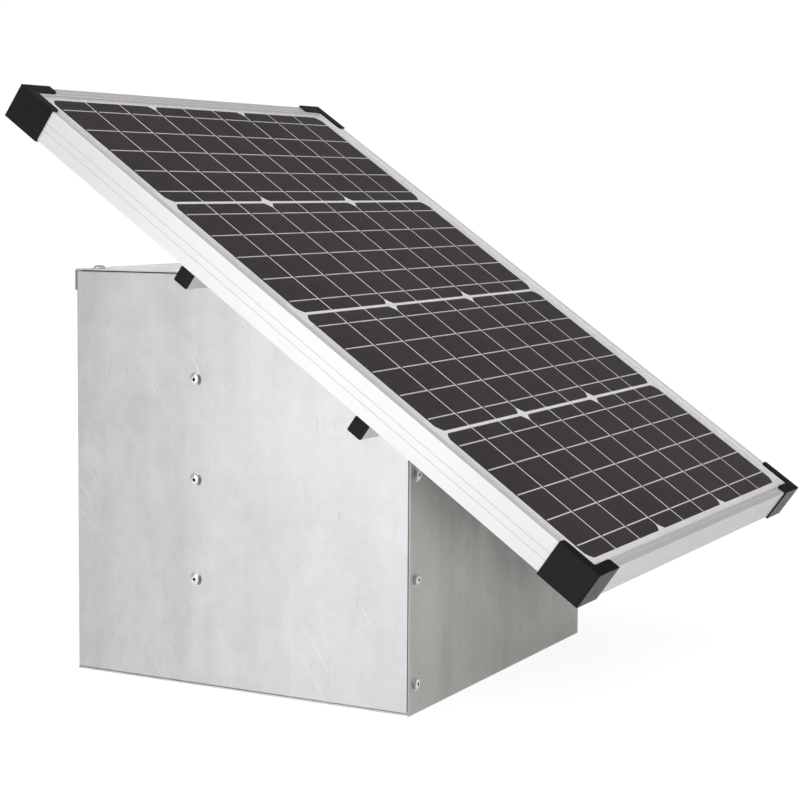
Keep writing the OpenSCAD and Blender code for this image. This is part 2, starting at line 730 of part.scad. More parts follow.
// Plastic corner pieces over the frame's corners
module protector() difference() {
    skin = 1.6;
    cover = 1.5;                         // thickness above and below the frame
    l = protector_l;
    translate([-skin, -skin, -cover]) linear_extrude(frame_h + 2 * cover)
        polygon(round_poly(
            [[0, 0], [l + skin, 0], [l + skin, 9.5], [l + skin - 3, 11], [11, 11],
             [11, l + skin - 3], [9.5, l + skin], [0, l + skin]],
            [1, 0.6, 2.4, 3, 0.8, 3, 2.4, 0.6]));
    // room for the frame
    cube([l + 5, l + 5, frame_h]);
    // recessed ends of the lower lips
    for (m = [0, 1]) mirror([m, -m, 0])
        translate([l - 6, 4, -5]) rotate([0, 0, 45]) cube([20, 20, 5]);
}
module corner_protectors() color([0.09, 0.09, 0.1]) at_corners() protector();

// ---------- cross bars ----------

bar_l = panel_w - 4;

module cross_bar() difference() {
    rotate([90, 0, 90]) linear_extrude(bar_l, center = true) difference() {
        translate([0, bar / 2]) rrect(bar, bar, 1);
        translate([0, bar / 2]) square([bar - 3, bar - 3], center = true);
    }
    for (x = [-bar_bolt_x - panel_x, bar_bolt_x - panel_x, -frame_bolt_x, frame_bolt_x])
        translate([x, 0, -1]) cylinder(r = bolt_r, h = bar + 2);
}
// s is 1 for the upper bar and -1 for the lower
module at_bar(s) {
    on_slope() translate([panel_x, panel_off + bars_y + s * bar_off, play]) children();
}
module cross_bar_upper() color(bar_silver) at_bar(1) cross_bar();
module cross_bar_lower() color(bar_silver) at_bar(-1) cross_bar();
module bar_end_caps() color([0.1, 0.1, 0.1]) for (s = [-1, 1], m = [0, 1])
    at_bar(s) mirror([m, 0, 0]) translate([bar_l / 2, 0, bar / 2]) rotate([90, 0, 90]) {
        linear_extrude(2) rrect(bar - 0.1, bar - 0.1, 1.3);
        xy_plate(bar - 3.2, bar - 3.2, 1, -9, 9.5);
    }
// Bolts that hold the bars to the sloping sheet, with nuts inside the box
module bar_bolts() color(screw_grey) at_bar_bolts() {
    translate([0, 0, bar + 2 * play]) cylinder(r = 4.2, h = 3);
    translate([0, 0, -sheet - 5]) cylinder(r = bolt_r, h = bar + sheet + 5.5);
    translate([0, 0, -sheet - 4 - play]) hex(8, 4);
}
// Bolts that hold the module's frame to the bars, with nuts on the frame flange
module frame_bolts() color(screw_grey) at_frame_bolts() {
    translate([0, 0, -3.5]) hex(8, 3.5);
    translate([0, 0, -1]) cylinder(r = bolt_r, h = bar + 8);
    translate([0, 0, bar + wall + 3 * play]) hex(8, 4);
}

// ---------- cables ----------

// Box coordinates of a point in the frame of on_slope or on_panel
function slope_pt(x, y, z) = [
    x,
    front_y + slope_run / 2 + y * cos(tilt) - z * sin(tilt),
    front_h + slope_drop / 2 + y * sin(tilt) + z * cos(tilt)];
function panel_pt(x, y, z) = slope_pt(x + panel_x, panel_off + y, bar + 2 * play + z);

// Cable from the junction box, through the slope, to the controller
module panel_cable() color(cable_black) {
    hole_y = slope_hole_y;
    gland = panel_pt(0, junction_y - 45, gland_z);
    above = slope_pt(0, hole_y, 12);
    below = slope_pt(0, hole_y, -8);
    end = [ctl_x, ctl_port_y, ctl_z0 + ctl_h + 0.8];
    outside = bezier(gland, panel_pt(0, junction_y - 130, gland_z),
        slope_pt(0, hole_y, 40), above, 16);
    through = bezier(above, slope_pt(0, hole_y, 8), slope_pt(0, hole_y, 0), below, 3);
    // over the top edge of the mounting plate and straight down
    inside = bezier(below, slope_pt(4, hole_y, -28), end + [0, 0, 119], end + [0, 0, 3], 22);
    cable(concat(join(join(outside, through), inside), [end]), 3.5, [1, 0, 0.1]);
}
// Supply from the charge controller to the energizer
module supply_cable() color(cable_black) {
    x0 = ctl_x - 28;
    x1 = ez_x + 78;
    cable(bezier([x0, ctl_port_y, ctl_z0 - 0.5], [x0, ctl_port_y, ctl_z0 - 110],
        [x1, plate_rear + 14, ez_z0 - 56], [x1, plate_rear + 14, ez_z0 - 0.6], 24),
        3, [0, 1, 0]);
}
// Battery lead from x on the controller: down behind the plate, under its edge,
// up to the post at end_x
module battery_lead(x, end_x) {
    gap_y = (batt_y0 + batt_d + plate_y) / 2 + 1;    // between battery and plate
    end_z = post_z + 8;
    under = [x, gap_y + 2, plate_z0 - 30];
    rise = [x, gap_y - 1, plate_z0 + 60];
    down = bezier([x, ctl_port_y, ctl_z0 - 0.4], [x, ctl_port_y, ctl_z0 - 70],
        [x, plate_rear + 20, plate_z0 - 38], under, 12);
    up = bezier(under, [x, gap_y - 8, plate_z0 - 24], [x, gap_y - 1, plate_z0 + 20], rise, 8);
    across = bezier(rise, [x, gap_y - 1, post_z + 40],
        [end_x, post_y + 48, end_z], [end_x, post_y + 27, end_z], 16);
    cable(concat(join(join(down, up), across), [[end_x, post_y + 21.5, end_z]]),
        2.6, [0.98, 0.02, 0.2]);
}
module battery_lead_red() color([0.75, 0.08, 0.06]) battery_lead(ctl_x + 12, post_x);
module battery_lead_black() color([0.08, 0.08, 0.08]) battery_lead(ctl_x - 6, -post_x);

// ---------- energizer ----------

ez_bosses = four(ez_w / 2 - 11, ez_h / 2 - 11);   // case screws
ez_mounts = four(60, 88);                         // screws to the mounting plate
ez_pillars = four(62, 62);                        // board supports
mount_r = 2;
screw_r = 1.6;                           // case screw
board_y = rim_y - 7.4;                   // component side of the board
board_back = rim_y - 9;
shaft_r = 3;                             // switch shaft
lens_r = 3;
term_xs = [ez_x - 55, ez_x + 55];        // fence and earth terminals
term_y = rim_y + 32;

// Frame of the energizer: x and z from the centre of its case
module on_ez() { translate([ez_x, 0, ez_z0 + ez_h / 2]) children(); }
// Case outline from y0 to y1, hollowed from hollow_y0 to hollow_y1
module ez_shell(y0, y1, hollow_y0, hollow_y1) difference() {
    xz_plate(ez_w, ez_h, 14, y0, y1);
    xz_plate(ez_w - 6, ez_h - 6, 11, hollow_y0, hollow_y1);
}
module at_lenses() { for (x = [-26, 0, 26]) translate([x, 0, 58]) children(); }

// Part of the case against the mounting plate
module energizer_back_shell() color([0.16, 0.17, 0.18]) on_ez() difference() {
    union() {
        ez_shell(plate_rear, rim_y, plate_rear + 3, rim_y + 1);
        at_xz(ez_bosses) y_rod(6, plate_rear, rim_y);
        at_xz(ez_pillars) y_rod(4, plate_rear, board_back);
    }
    at_xz(ez_bosses) y_rod(screw_r, plate_rear + 6, rim_y + 1);
    at_xz(ez_mounts) y_rod(mount_r, plate_rear - 1, plate_rear + 5);
}
module energizer_seal() color([0.07, 0.07, 0.07]) on_ez()
    ez_shell(rim_y, cover_y, rim_y - 1, cover_y + 1);
module energizer_cover() color([0.83, 0.42, 0.1]) difference() {
    on_ez() difference() {
        union() {
            ez_shell(cover_y, face_y, rim_y, face_y - 3);
            at_xz(ez_bosses) y_rod(6, cover_y, face_y);
            // raised ring round the switch
            y_rod(27, face_y, face_y + 1.5);
        }
        at_xz(ez_bosses) {
            y_rod(2, rim_y, face_y + 1);
            y_rod(4.5, cover_y + 6, face_y + 1);
        }
        // recess of the ring, switch bore, lens holes
        y_rod(24, face_y + 0.5, face_y + 3);
        y_rod(shaft_r + run_gap, face_y - 10, face_y + 5);
        at_lenses() y_rod(lens_r, face_y - 10, face_y + 5);
    }
    at_terminals() translate([0, 0, -5]) cylinder(r = stud_r, h = 20);
}
// Circuit board with the rotary switch's body and other raised components
module energizer_board() color([0.1, 0.38, 0.2]) on_ez() difference() {
    union() {
        xz_plate(150, 160, 2, board_back, board_y);
        // switch body
        y_rod(12, board_y, face_y - 26);
        block(30, 62, board_y, rim_y + 22, 20, 26);
        block(-64, -44, board_y, rim_y + 8, 34, 62);
        for (i = [0:3]) translate([-4 + i * 12, 0, -66]) y_rod(4, board_y, rim_y + 6);
    }
    y_rod(shaft_r + run_gap, face_y - 36, face_y);
    at_xz(ez_pillars) y_rod(1.7, rim_y - 12, rim_y);
}
// Transformer block with two windows through it
module pulse_transformer() color([0.3, 0.3, 0.32]) on_ez() translate([45, 0, -28])
    difference() {
        block(-32, 32, board_y, rim_y + 26, -28, 28);
        for (s = [-1, 1]) block(s * 22, s * 9, board_back, rim_y + 28, -18, 18);
    }
// Two round capacitors with a ring groove in the end
module storage_capacitors() color([0.12, 0.16, 0.4]) on_ez() for (z = [-20, -58])
    translate([-48, 0, z]) difference() {
        y_rod(17, board_y, rim_y + 44);
        translate([0, rim_y + 43, 0]) rotate([-90, 0, 0]) difference() {
            cylinder(r = 15, h = 3);
            translate([0, 0, -1]) cylinder(r = 14, h = 5);
        }
    }
// Shaft, and a scalloped disc with a grip bar
module switch_knob() color([0.12, 0.12, 0.12]) on_ez() {
    y_rod(shaft_r, face_y - 34, face_y + 4);
    difference() {
        union() {
            y_rod(20, face_y + 2.5, face_y + 8);
            block(-4.5, 4.5, face_y + 6, face_y + 19, -18, 18);
        }
        // pointer groove
        block(-0.8, 0.8, face_y + 18, face_y + 21, 4, 18.5);
        for (a = [15:30:345]) rotate([0, a, 0])
            translate([21.5, 0, 0]) y_rod(2.2, face_y, face_y + 10);
    }
}
// Flanged lenses with domed ends; points are [radius, distance outward]
module status_lenses() color([0.2, 0.8, 0.3, 0.7]) on_ez() at_lenses()
    translate([0, face_y - 8, 0]) rotate([-90, 0, 0]) rotate_extrude() polygon([
        [0, 0], [3.8, 0], [3.8, 5], [lens_r, 5], [lens_r, 8.6], [2.4, 10], [1.2, 10.8], [0, 11]]);

// Origin where each terminal's axis meets the underside of the case
module at_terminals(xs = term_xs) { for (x = xs) translate([x, term_y, ez_z0]) children(); }
// Terminal studs with their inner nuts and outer washers
module terminal_studs() color([0.78, 0.7, 0.5]) at_terminals() {
    translate([0, 0, -36]) cylinder(r = stud_r, h = 50);
    translate([0, 0, 3]) hex(10, 5);
    translate([0, 0, -1.5]) cylinder(r = 8, h = 1.5);
}
module terminal_knob() translate([0, 0, -22]) difference() {
    union() {
        cylinder(r = 6.5, h = 20.3);
        cylinder(r = 11, h = 14);
    }
    translate([0, 0, -1]) cylinder(r = stud_r + run_gap, h = 24);
    for (a = [0:60:300]) rotate([0, 0, a]) translate([13.4, 0, -1]) cylinder(r = 4.4, h = 16);
}
module fence_knob() color([0.75, 0.1, 0.08]) at_terminals([term_xs[0]]) terminal_knob();
module earth_knob() color([0.1, 0.35, 0.15]) at_terminals([term_xs[1]]) terminal_knob();

// Case screws, and the screws that hold the energizer to the plate
module case_screws() color([0.8, 0.8, 0.81]) on_ez() {
    at_xz(ez_bosses) {
        y_rod(screw_r, rim_y - 12, cover_y + 6.5);
        difference() {
            y_rod(3.8, cover_y + 6, cover_y + 9);
            translate([0, cover_y + 7.2, 0]) rotate([-90, 0, 0]) hex(3.5, 3);
        }
    }
    at_xz(ez_mounts) {
        y_rod(mount_r, plate_y - 5, plate_rear + 3.5);
        y_rod(3.6, plate_rear + 3, plate_rear + 5.4);
        translate([0, plate_y, 0]) rotate([90, 0, 0]) hex(7, 3.2);
    }
}

// ---------- charge controller ----------

button_z = 26 - ctl_h / 2;               // from the controller's centre
button_r = 6;

module on_ctl() { translate([ctl_x, 0, ctl_z0 + ctl_h / 2]) children(); }
module controller_case() color([0.2, 0.24, 0.3]) on_ctl() difference() {
    union() {
        xz_plate(ctl_w, ctl_h, 5, plate_rear, ctl_face - 6);
        xz_plate(ctl_w - 8, ctl_h - 8, 4, plate_rear + 5, ctl_face);
        // cooling fins along both sides
        for (s = [-1, 1], i = [0:7])
            block(s * (ctl_w / 2 - 3), s * (ctl_w / 2 + 2),
                plate_rear + 2, plate_rear + 20, -50 + i * 13, -47 + i * 13);
    }
    // display recess and button bore
    translate([0, 0, 22]) xz_plate(50, 30, 2, ctl_face - 1.2, ctl_face + 1);
    translate([0, 0, button_z]) y_rod(button_r + 0.08, ctl_face - 9, ctl_face + 1);
    // wiring pockets along the lower edge
    for (i = [0:5]) translate([-30 + i * 12, 0, -ctl_h / 2 + 4])
        block(-4, 4, plate_rear + 22, ctl_face + 1, 0, 8);
}
module controller_button() color([0.85, 0.5, 0.1]) on_ctl() translate([0, 0, button_z])
    y_rod(button_r, ctl_face - 5, ctl_face + 2);

// ---------- battery ----------

lid_z = post_z - 22;                     // lower edge of the lid
batt_wall = 3;
divider = 2.5;                           // wall between two chambers
chamber_w = (batt_l - 2 * batt_wall - 5 * divider) / 6;
plate_t = 4;

// Origin at the left, front, bottom corner of each of the six chambers
module at_chambers() {
    for (i = [0:5])
        translate([-batt_l / 2 + batt_wall + i * (chamber_w + divider),
            batt_y0 + batt_wall, batt_z0 + batt_wall]) children();
}
module at_posts(z) { for (s = [-1, 1]) translate([s * post_x, post_y, z]) children(); }

module battery_case() color([0.13, 0.13, 0.14]) difference() {
    translate([0, batt_y, 0]) {
        xy_plate(batt_l, batt_d, 4, batt_z0, lid_z - batt_z0);
        // hold-down ledge
        xy_plate(batt_l + 8, batt_d + 6, 5, batt_z0, 12);
    }
    at_chambers()
        cube([chamber_w, batt_d - 2 * batt_wall, lid_z + 1 - batt_z0 - batt_wall]);
}
// Five plates in each chamber
module battery_plates() color([0.42, 0.43, 0.45]) at_chambers()
    for (j = [0:4])
        translate([plate_t + j * (chamber_w - 3 * plate_t) / 4, 10 - batt_wall, 0])
            cube([plate_t, batt_d - 20, 118]);
module battery_lid() color([0.5, 0.52, 0.54]) difference() {
    union() {
        translate([0, batt_y, 0]) xy_plate(batt_l + 2, batt_d + 2, 5, lid_z, 16);
        translate([0, batt_y - 20, 0]) xy_plate(batt_l - 30, batt_d - 70, 6, lid_z, 22);
        at_posts(lid_z) cylinder(r = 15, h = 22);
    }
    // ring grooves of the filler plugs
    for (i = [-2.5:2.5]) translate([i * 44, batt_y - 24, lid_z + 20]) difference() {
        cylinder(r = 11, h = 4);
        translate([0, 0, -1]) cylinder(r = 9.4, h = 6);
    }
    at_posts(lid_z + 12) cylinder(r = post_r, h = 12);
}
module battery_posts() color([0.55, 0.56, 0.58])
    at_posts(post_z - 10) cylinder(r = post_r, h = 27);
// Ring clamps on the posts, closed by a bolt across the ears
module battery_clamps() color([0.72, 0.7, 0.62]) {
    clamp_h = 11;
    bolt_y = -18;
    clamp_bolt_r = 3;
    at_posts(post_z + 2) {
        difference() {
            union() {
                cylinder(r = 13, h = clamp_h);
                // split ears at the front, cable lug at the rear
                block(-7, 7, -24, -8, 0, clamp_h);
                block(-6, 6, 8, 20, 1, clamp_h);
            }
            translate([0, 0, -1]) cylinder(r = post_r, h = 13);
            block(-1.2, 1.2, -26, -6, -1, 12);
            translate([-20, bolt_y, clamp_h / 2])
                rotate([0, 90, 0]) cylinder(r = clamp_bolt_r, h = 40);
        }
        translate([-11, bolt_y, clamp_h / 2]) rotate([0, 90, 0]) {
            cylinder(r = clamp_bolt_r, h = 24);
            hex(9, 4);
            translate([0, 0, 18]) hex(9, 5);
        }
    }
}

// ---------- output ----------

front_top_sheet();
left_side_panel();
right_side_panel();
base_tray();
door_header();
rear_door();
door_seal();
box_rivets();
cable_grommets();
hinge_frame_leaves();
hinge_door_leaves();
hinge_pins();
lock_body();
lock_nut();
lock_plug();
lock_cam();
door_key();
mounting_rails();
mounting_plate();
plate_thumb_screws();
frame_rail_left();
frame_rail_right();
frame_rail_upper();
frame_rail_lower();
frame_corner_keys();
solar_glass();
solar_cells();
cell_ribbons();
backsheet();
junction_box();
junction_box_lid();
corner_protectors();
cross_bar_upper();
cross_bar_lower();
bar_end_caps();
bar_bolts();
frame_bolts();
panel_cable();
supply_cable();
battery_lead_red();
battery_lead_black();
energizer_back_shell();
energizer_cover();
energizer_seal();
energizer_board();
pulse_transformer();
storage_capacitors();
switch_knob();
status_lenses();
terminal_studs();
fence_knob();
earth_knob();
case_screws();
controller_case();
controller_button();
battery_case();
battery_lid();
battery_plates();
battery_posts();
battery_clamps();
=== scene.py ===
"""Solar-powered fence energizer: a galvanised box that carries a tilted solar module.

Metres, +Z up. The box stands on z = 0 with its front face towards -Y and its side
panels at -X and +X. The module lies on a slope that rises towards +Y.
The pieces come from the CAD frame; this script adds materials, softened edges and a studio.
"""
import json
import math
from functools import reduce

import bpy
from mathutils import Matrix, Vector

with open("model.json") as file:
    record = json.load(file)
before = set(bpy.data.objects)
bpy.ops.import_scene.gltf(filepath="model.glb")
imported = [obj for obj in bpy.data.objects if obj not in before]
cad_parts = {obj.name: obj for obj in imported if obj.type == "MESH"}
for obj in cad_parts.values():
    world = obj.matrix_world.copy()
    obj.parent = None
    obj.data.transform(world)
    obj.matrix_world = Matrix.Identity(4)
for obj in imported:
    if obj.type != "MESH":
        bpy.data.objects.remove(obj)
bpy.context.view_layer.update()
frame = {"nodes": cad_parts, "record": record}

NODES = frame["nodes"]

# ------------------------------------------------------------------ places on the product

TILT = 35.0              # slope of the module, degrees
MODULE_Z = 0.31006       # underside of the module, along the normal of the slope
GROOVE_HEIGHTS = (0.011, 0.018)  # grooves of the side rails, above the underside
GROOVE_HALF = 0.00034

FRONT_SHADE_Y = -0.165   # the front sheet is shaded in front of this
FRONT_TOP_Z = 0.3735     # above this is the flat top
FOLD_X = (0.1868, 0.18875)  # fold round the side panels, either side of x = 0
FOLD_REAR_Y = 0.168
FOLD_BOTTOM_Z = 0.0035

RIVET_PITCH = 0.0905
SIDE_RIVET_X = 0.186     # side rivets lie outside this
SIDE_RIVET_Y = 0.043
SIDE_RIVET_Z = 0.0974
FRONT_RIVET_X = 0.1773
FRONT_RIVET_Y = -0.171   # front rivets lie in front of this
FRONT_RIVET_Z = 0.0262
RIVET_HOLE_RADIUS = 0.00145
RIVET_FOOT = (0.0040, 0.0047)  # radii between which the painted shade round a rivet sets in

FINGERS_PER_METRE = 620.0
CELL_ORIGIN = (0.2388, 0.1997)  # added to x and to the distance up the slope
CELL_SIZE = (0.05405, 0.16015)

# ------------------------------------------------------------------ node helpers


class Shader:
    """The node tree of a material or world, with short calls for its nodes."""

    def __init__(self, owner, output):
        owner.use_nodes = True
        self.tree = owner.node_tree
        self.tree.nodes.clear()
        self.out = self.tree.nodes.new("ShaderNode" + output)

    def put(self, socket, value):
        """Link a socket, or set a plain value."""
        if isinstance(value, bpy.types.NodeSocket):
            self.tree.links.new(value, socket)
            return
        if isinstance(value, tuple) and len(value) == 3 and socket.type == "RGBA":
            value = (*value, 1)
        socket.default_value = value

    def node(self, kind, out=0, props=None, **inputs):
        """Add a node and return one output, or all if out is None.

        Inputs go by name, with _ for a space, or by index as i0, i1 and so on.
        """
        made = self.tree.nodes.new("ShaderNode" + kind)
        for key, value in (props or {}).items():
            setattr(made, key, value)
        for key, value in inputs.items():
            by_index = key[0] == "i" and key[1:].isdigit()
            self.put(made.inputs[int(key[1:]) if by_index else key.replace("_", " ")], value)
        return made.outputs if out is None else made.outputs[out]

    def surface(self, shader):
        self.put(self.out.inputs[0], shader)

    def math(self, operation, first, second=0.0, third=None):
        inputs = {"i0": first, "i1": second}
        if third is not None:
            inputs["i2"] = third
        return self.node("Math", props={"operation": operation}, **inputs)

    def add(self, *terms):
        return reduce(lambda a, b: self.math("ADD", a, b), terms)

    def mul(self, *terms):
        return reduce(lambda a, b: self.math("MULTIPLY", a, b), terms)

    def sub(self, a, b):
        return self.math("SUBTRACT", a, b)

    def mul_add(self, a, b, c):
        return self.math("MULTIPLY_ADD", a, b, c)

    def largest(self, a, b):
        return self.math("MAXIMUM", a, b)

    def absolute(self, a):
        return self.math("ABSOLUTE", a)

    def above(self, a, b):
        return self.math("GREATER_THAN", a, b)

    def below(self, a, b):
        return self.math("LESS_THAN", a, b)

    def radius(self, a, b):
        return self.math("SQRT", self.add(self.mul(a, a), self.mul(b, b)))

    def remap(self, value, to, span=(0.3, 0.7), smooth=False):
        """Map span to another range; the default span is the usual reach of a noise."""
        props = {"interpolation_type": "SMOOTHSTEP"} if smooth else None
        return self.node("MapRange", props=props, i0=value, i1=span[0], i2=span[1],
                         i3=to[0], i4=to[1])

    def sway(self, value, amount):
        """A noise as plus or minus an amount."""
        return self.remap(value, to=(-amount, amount))

    def mix_shader(self, factor, first, second):
        return self.node("MixShader", i0=factor, i1=first, i2=second)


class Mat(Shader):
    """A new material; co is its object coordinate."""

    def __init__(self, name):
        self.material = bpy.data.materials.new(name)
        super().__init__(self.material, "OutputMaterial")
        self.co = self.node("TexCoord", "Object")

    def map(self, scale=(1, 1, 1), rot=(0, 0, 0), loc=(0, 0, 0), co=None):
        return self.node("Mapping", Vector=co or self.co, Scale=scale, Rotation=rot,
                         Location=loc)

    def slope(self):
        """Object coordinates turned so that y runs up the slope and z is its normal."""
        return self.map(rot=(-math.radians(TILT), 0, 0))

    def noise(self, scale=1.0, detail=2.0, rough=0.5, co=None, out=0, distortion=0.0):
        return self.node("TexNoise", out, Vector=co or self.co, Scale=scale, Detail=detail,
                         Roughness=rough, Distortion=distortion)

    def voronoi(self, scale, co, dimensions="3D"):
        return self.node("TexVoronoi", None, {"voronoi_dimensions": dimensions},
                         Vector=co, Scale=scale)

    def shift(self, co, field, amount):
        """Coordinates moved by a vector field."""
        moved = self.node("VectorMath", props={"operation": "SCALE"}, i0=field, Scale=amount)
        return self.node("VectorMath", props={"operation": "ADD"}, i0=co, i1=moved)

    def ramp(self, factor, stops):
        """Grey ramp; stops are (position, level)."""
        made = self.tree.nodes.new("ShaderNodeValToRGB")
        elements = made.color_ramp.elements
        while len(elements) < len(stops):
            elements.new(0.5)
        for element, (position, level) in zip(elements, stops):
            element.position = position
            element.color = (level, level, level, 1)
        self.put(made.inputs[0], factor)
        return made.outputs[0]

    def mix(self, factor, first, second, mode="MIX"):
        props = {"data_type": "RGBA", "blend_type": mode}
        return self.node("Mix", 2, props, i0=factor, i6=first, i7=second)

    def tint(self, colour, tone, blue=None):
        """A colour multiplied by a tone; blue may have its own."""
        level = self.node("CombineColor", Red=tone, Green=tone, Blue=blue or tone)
        return self.mix(1.0, colour, level, "MULTIPLY")

    def channel(self, colour, index):
        return self.node("SeparateColor", index, Color=colour)

    def sep(self, vector):
        return tuple(self.node("SeparateXYZ", None, i0=vector))

    def bump(self, height, strength, distance):
        return self.node("Bump", Strength=strength, Distance=distance, Height=height)

    def edges(self, stops):
        return self.ramp(self.node("NewGeometry", "Pointiness"), stops)

    def finish(self, **inputs):
        self.surface(self.node("BsdfPrincipled", **inputs))
        return self.material


# ------------------------------------------------------------------ galvanised sheet


def flat_coord(mat):
    """Coordinates in the plane of each face (across, up), and a third that differs by face."""
    nx, _, nz = mat.sep(mat.node("TexCoord", "Normal"))
    x, y, z = mat.sep(mat.co)
    facing_x = mat.above(mat.absolute(nx), 0.6)
    facing_z = mat.above(mat.absolute(nz), 0.7)
    across = mat.add(mat.mul(y, facing_x), mat.mul(x, mat.sub(1.0, facing_x)))
    upward = mat.add(mat.mul(y, facing_z), mat.mul(z, mat.sub(1.0, facing_z)))
    upward = mat.add(upward, mat.mul(facing_x, 0.73))
    face = mat.mul_add(facing_x, 0.4, mat.mul(facing_z, 0.9))
    return mat.node("CombineXYZ", X=across, Y=upward, Z=face)


# angle in degrees, cells per metre along and across the mark, share of the cells kept,
# reach of a mark in its cell, offset of the pattern, bend in metres
SCRATCHES = {
    "slanted": (-44, 3.4, 150, 0.20, 0.10, (1.3, 0.2, 0), 0.06),
    "steep": (-56, 5.6, 240, 0.12, 0.10, (4.1, 2.7, 0), 0.08),
    "upright": (88, 2.6, 190, 0.08, 0.09, (7.7, 1.1, 0), 0.006),
    "short": (-30, 8.0, 260, 0.10, 0.09, (2.9, 6.3, 0), 0.07),
    "scuff": (80, 14, 150, 0.045, 0.13, (9.2, 3.3, 0), 0.02),
    "level": (2, 3.4, 420, 0.05, 0.08, (5.5, 8.1, 0), 0.002),
}


def scratches(mat, flat, kind):
    """Sparse thin marks with tapered ends."""
    angle, along, across, keep, reach, offset, bend = SCRATCHES[kind]
    warp = mat.noise(scale=5.0, detail=1, rough=0.4, co=mat.map(co=flat, loc=offset), out=1)
    co = mat.shift(flat, warp, bend)
    # two steps, so that the turn comes before the stretch
    co = mat.map(co=co, rot=(0, 0, math.radians(angle)), loc=offset)
    co = mat.map(co=co, scale=(along, across, 1))
    cells = mat.voronoi(1.0, co, "2D")
    pick = mat.below(mat.channel(cells["Color"], 0), keep)
    line = mat.ramp(cells["Distance"], [(0.0, 1.0), (reach * 0.55, 0.75), (reach, 0.0)])
    broken = mat.ramp(mat.noise(scale=55, detail=3, rough=0.6, co=flat),
                      [(0.36, 0.15), (0.55, 1.0)])
    return mat.mul(line, pick, broken)


def front_painted_light(mat, tone, shade):
    """Painted shade where the module overhangs the front sheet, and a painted highlight that
    lightens the flat top.
    """
    x, y, z = mat.sep(mat.co)
    height = mat.mul_add(mat.noise(scale=9), 0.03, z)
    height = mat.add(height, mat.mul_add(mat.math("MINIMUM", x, 0.02), 0.75, 0.036))
    # painted shade on the front sheet where the module overhangs it
    overhang_shade = mat.mul(mat.remap(height, span=(0.095, 0.165), to=(0.0, shade)),
                   mat.below(y, FRONT_SHADE_Y))
    # painted highlight: the flat top is lighter
    return mat.add(mat.sub(tone, overhang_shade), mat.mul(mat.above(z, FRONT_TOP_Z), 0.40))


def panel_painted_light(mat, tone):
    """Painted light: darker towards the rear and lighter towards the front, and painted shade in
    the fold that runs round the panel.
    """
    x, y, z = mat.sep(mat.co)
    depth = mat.mul_add(mat.noise(scale=5), 0.06, y)
    # painted light: lighter towards the front, darker towards the rear
    tone = mat.add(tone, mat.remap(depth, span=(0.20, -0.15), to=(-0.095, 0.085)))
    out = mat.absolute(x)
    # painted shade in the fold round the panel
    fold_shade = mat.mul(mat.above(out, FOLD_X[0]), mat.below(out, FOLD_X[1]),
                   mat.below(y, FOLD_REAR_Y), mat.above(z, FOLD_BOTTOM_Z), 0.80)
    return mat.sub(tone, fold_shade)


